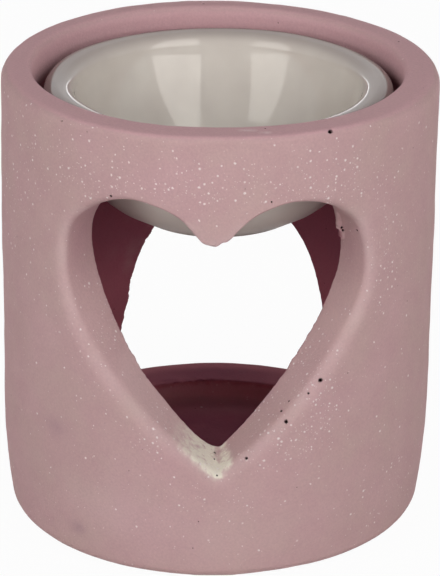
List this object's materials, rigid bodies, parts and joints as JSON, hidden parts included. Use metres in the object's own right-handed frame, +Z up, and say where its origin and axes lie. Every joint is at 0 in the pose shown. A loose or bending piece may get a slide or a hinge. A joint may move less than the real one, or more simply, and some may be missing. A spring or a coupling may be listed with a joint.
{
  "type": "essential oil burner",
  "caption": "Round cast concrete oil burner with a heart window in front, an arched tealight doorway behind and a loose glazed oil dish resting in its stepped mouth.",
  "frame": {"origin": "on the table, under the middle of the drum", "axes": "+Z up along the drum's axis; the heart window looks along -Y and the tealight doorway along +Y; +X is the right-hand side as seen from the heart"},
  "size_m": [0.084, 0.084, 0.09],
  "materials": {
    "concrete": "matte tinted concrete with fine pores and pale specks",
    "glaze": "glossy warm grey glaze",
    "pad": "matte black foam rubber"
  },
  "bodies": {
    "burner": {"body": "concrete", "pad_front_left": "pad", "pad_front_right": "pad", "pad_back_left": "pad", "pad_back_right": "pad"},
    "dish": {"dish": "glaze"}
  },
  "joints": [
    {"name": "dish_lift", "type": "slide", "parent": "burner", "child": "dish", "axis": [0, 0, 1], "range_m": [0, 0.04]}
  ]
}
